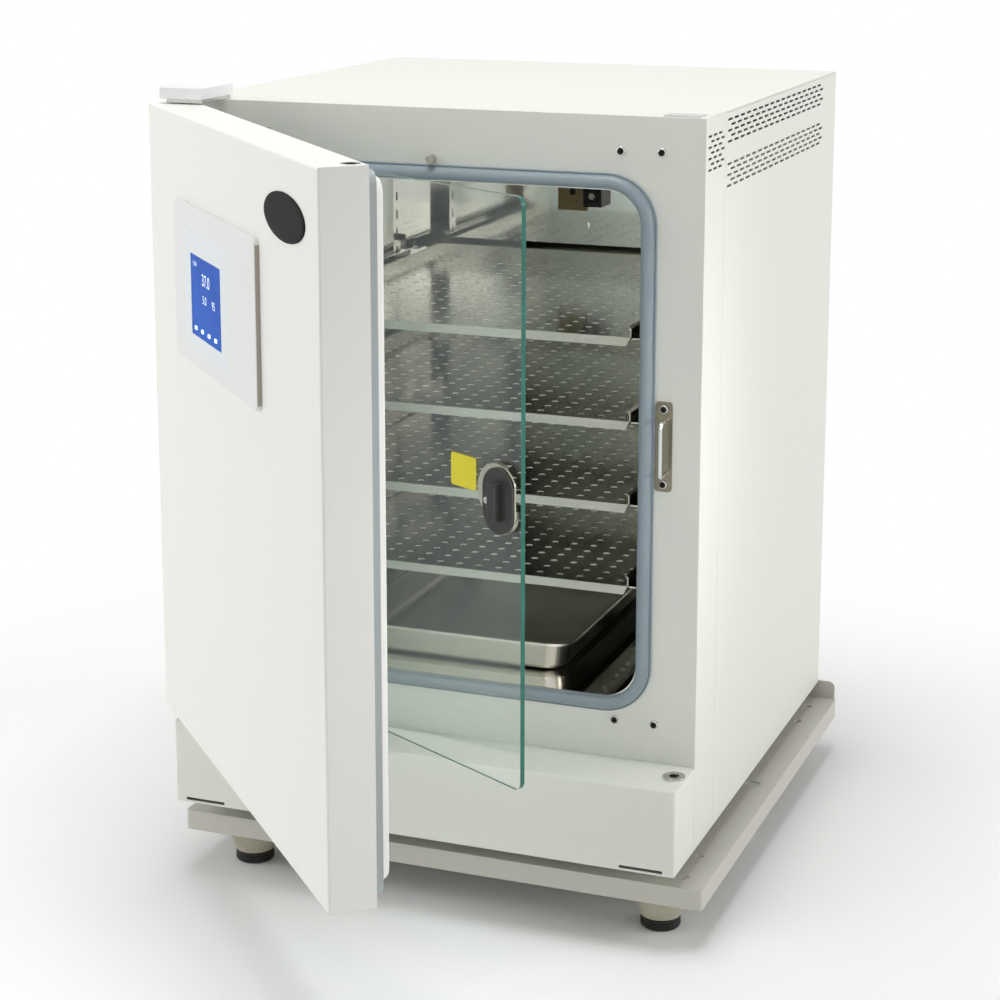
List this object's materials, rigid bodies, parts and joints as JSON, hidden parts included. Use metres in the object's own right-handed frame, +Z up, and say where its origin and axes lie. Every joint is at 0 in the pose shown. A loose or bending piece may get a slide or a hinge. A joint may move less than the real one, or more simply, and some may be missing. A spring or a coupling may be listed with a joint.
{
  "type": "laboratory incubator",
  "caption": "Bench incubator: steel chamber with perforated shelves, ajar heated outer door, inner glass door with a turn latch, and a base tray on levelling feet.",
  "frame": {"origin": "on the floor, under the middle of the whole part's box as it stands with both doors ajar", "axes": "+Z up; +Y from the front to the back, the longest way with the door ajar; +X to the right seen from the front, the narrowest way"},
  "size_m": [0.6917, 1.1808, 0.984],
  "materials": {
    "cabinet_paint": "ivory white powder coat",
    "door_paint": "white powder coat",
    "tray_paint": "grey beige powder coat",
    "white_plastic": "moulded, fine matt grain",
    "bezel_plastic": "moulded, light grey, satin",
    "window_plastic": "polished pale grey blue",
    "screen_glass": "lit blue screen",
    "black_plate": "plain, polished black",
    "hinge_steel": "zinc plated, satin",
    "bush_plastic": "black acetal",
    "chamber_steel": "stainless steel, bright annealed",
    "chamber_silicone": "blue grey silicone, satin",
    "door_silicone": "pale grey silicone, satin",
    "mineral_wool": "pressed mineral wool",
    "door_foam": "rigid foam",
    "heater_foil": "silicone heater mat",
    "fan_plastic": "moulded, matt",
    "motor_metal": "painted motor body",
    "tan_plastic": "sintered, tan",
    "black_plastic": "moulded, matt black",
    "clear_glass": "clear tempered glass, green edges",
    "bright_chrome": "polished chrome",
    "board_green": "circuit board",
    "supply_metal": "sheet aluminium",
    "port_plastic": "moulded, white",
    "stopper_silicone": "translucent silicone",
    "gas_metal": "nickel plated brass",
    "cup_paint": "cream beige powder coat",
    "foot_rubber": "black rubber"
  },
  "bodies": {
    "cabinet": {"access_port": "port_plastic", "back_wall_plug": "chamber_steel", "base_tray": "tray_paint", "bottom_panel": "cabinet_paint", "cabinet_feet": "foot_rubber", "chamber_gasket": "chamber_silicone", "chamber_liner": "chamber_steel", "control_board": "board_green", "fan_motor": "motor_metal", "fan_shroud": "chamber_steel", "foot_cups": "cup_paint", "front_panel": "cabinet_paint", "front_screws": "hinge_steel", "gas_inlet": "gas_metal", "glass_hinge_brackets": "hinge_steel", "heater_mats": "heater_foil", "hinge_cap": "white_plastic", "insulation_jacket": "mineral_wool", "ledge_cover": "cabinet_paint", "lower_hinge_plate": "hinge_steel", "power_inlet": "black_plastic", "power_supply": "supply_metal", "rear_panel": "cabinet_paint", "sensor_block": "black_plastic", "sensor_plate": "tan_plastic", "shelf_standards": "chamber_steel", "shelf_supports": "chamber_steel", "side_panel_left": "cabinet_paint", "side_panel_right": "cabinet_paint", "spare_hinge_fittings": "hinge_steel", "strike_plate": "hinge_steel", "top_panel": "cabinet_paint", "upper_hinge_bracket": "hinge_steel"},
    "outer_door": {"outer_door_shell": "door_paint", "outer_door_inner_panel": "white_plastic", "outer_door_core": "door_foam", "outer_door_gasket": "door_silicone", "door_bushes": "bush_plastic", "display_bezel": "bezel_plastic", "display_window": "window_plastic", "display_screen": "screen_glass", "badge_plate": "black_plate"},
    "glass_door": {"glass_pane": "clear_glass", "glass_hinge_fittings": "hinge_steel", "latch_housing": "bright_chrome"},
    "latch": {"latch_knob": "black_plastic", "latch_tongue": "hinge_steel"},
    "shelf_1": {"shelf_1": "chamber_steel"},
    "shelf_2": {"shelf_2": "chamber_steel"},
    "shelf_3": {"shelf_3": "chamber_steel"},
    "shelf_4": {"shelf_4": "chamber_steel"},
    "water_pan": {"water_pan": "chamber_steel"},
    "fan_wheel": {"fan_wheel": "fan_plastic"},
    "door_sensor_button": {"door_sensor_button": "bush_plastic"},
    "port_stopper": {"port_stopper": "stopper_silicone"},
    "power_rocker": {"power_rocker": "black_plastic"},
    "foot_front_left": {"foot_front_left": "foot_rubber"},
    "foot_front_right": {"foot_front_right": "foot_rubber"},
    "foot_back_left": {"foot_back_left": "foot_rubber"},
    "foot_back_right": {"foot_back_right": "foot_rubber"}
  },
  "joints": [
    {"name": "outer_door_hinge", "type": "hinge", "parent": "cabinet", "child": "outer_door", "pos_m": [-0.30501, -0.10296, 0.5855], "axis": [0, 0, -1], "range_deg": [-47, 78]},
    {"name": "glass_door_hinge", "type": "hinge", "parent": "cabinet", "child": "glass_door", "pos_m": [-0.25801, -0.08246, 0.584], "axis": [0, 0, -1], "range_deg": [-28.91, 48.1]},
    {"name": "latch_turn", "type": "hinge", "parent": "glass_door", "child": "latch", "pos_m": [0.18265, -0.32914, 0.581], "axis": [0.4833, 0.8755, 0], "range_deg": [0, 90]},
    {"name": "fan_spin", "type": "hinge", "parent": "cabinet", "child": "fan_wheel", "pos_m": [0.00099, 0.33304, 0.876], "axis": [0, 0, 1], "continuous": true},
    {"name": "water_pan_slide", "type": "slide", "parent": "cabinet", "child": "water_pan", "axis": [0, -1, 0], "range_m": [0, 0.1]},
    {"name": "sensor_button_press", "type": "slide", "parent": "cabinet", "child": "door_sensor_button", "axis": [0, 1, 0], "range_m": [0, 0.003], "stiffness_N_per_m": 300, "springref_m": -0.003},
    {"name": "port_stopper_pull", "type": "slide", "parent": "cabinet", "child": "port_stopper", "axis": [0, 1, 0], "range_m": [0, 0.05]},
    {"name": "power_switch", "type": "hinge", "parent": "cabinet", "child": "power_rocker", "pos_m": [-0.17901, 0.55704, 0.9], "axis": [-1, 0, 0], "range_deg": [0, 16]},
    {"name": "shelf_1_slide", "type": "slide", "parent": "cabinet", "child": "shelf_1", "axis": [0, -1, 0], "range_m": [0, 0.08]},
    {"name": "shelf_2_slide", "type": "slide", "parent": "cabinet", "child": "shelf_2", "axis": [0, -1, 0], "range_m": [0, 0.08]},
    {"name": "shelf_3_slide", "type": "slide", "parent": "cabinet", "child": "shelf_3", "axis": [0, -1, 0], "range_m": [0, 0.08]},
    {"name": "shelf_4_slide", "type": "slide", "parent": "cabinet", "child": "shelf_4", "axis": [0, -1, 0], "range_m": [0, 0.08]},
    {"name": "foot_front_left_screw_out", "type": "slide", "parent": "cabinet", "child": "foot_front_left", "axis": [0, 0, -1], "range_m": [0, 0.01]},
    {"name": "foot_front_right_screw_out", "type": "slide", "parent": "cabinet", "child": "foot_front_right", "axis": [0, 0, -1], "range_m": [0, 0.01]},
    {"name": "foot_back_left_screw_out", "type": "slide", "parent": "cabinet", "child": "foot_back_left", "axis": [0, 0, -1], "range_m": [0, 0.01]},
    {"name": "foot_back_right_screw_out", "type": "slide", "parent": "cabinet", "child": "foot_back_right", "axis": [0, 0, -1], "range_m": [0, 0.01]}
  ],
  "couplings": [
    {"joint": "glass_door_hinge", "follows": "outer_door_hinge", "ratio": 0.61489}
  ]
}
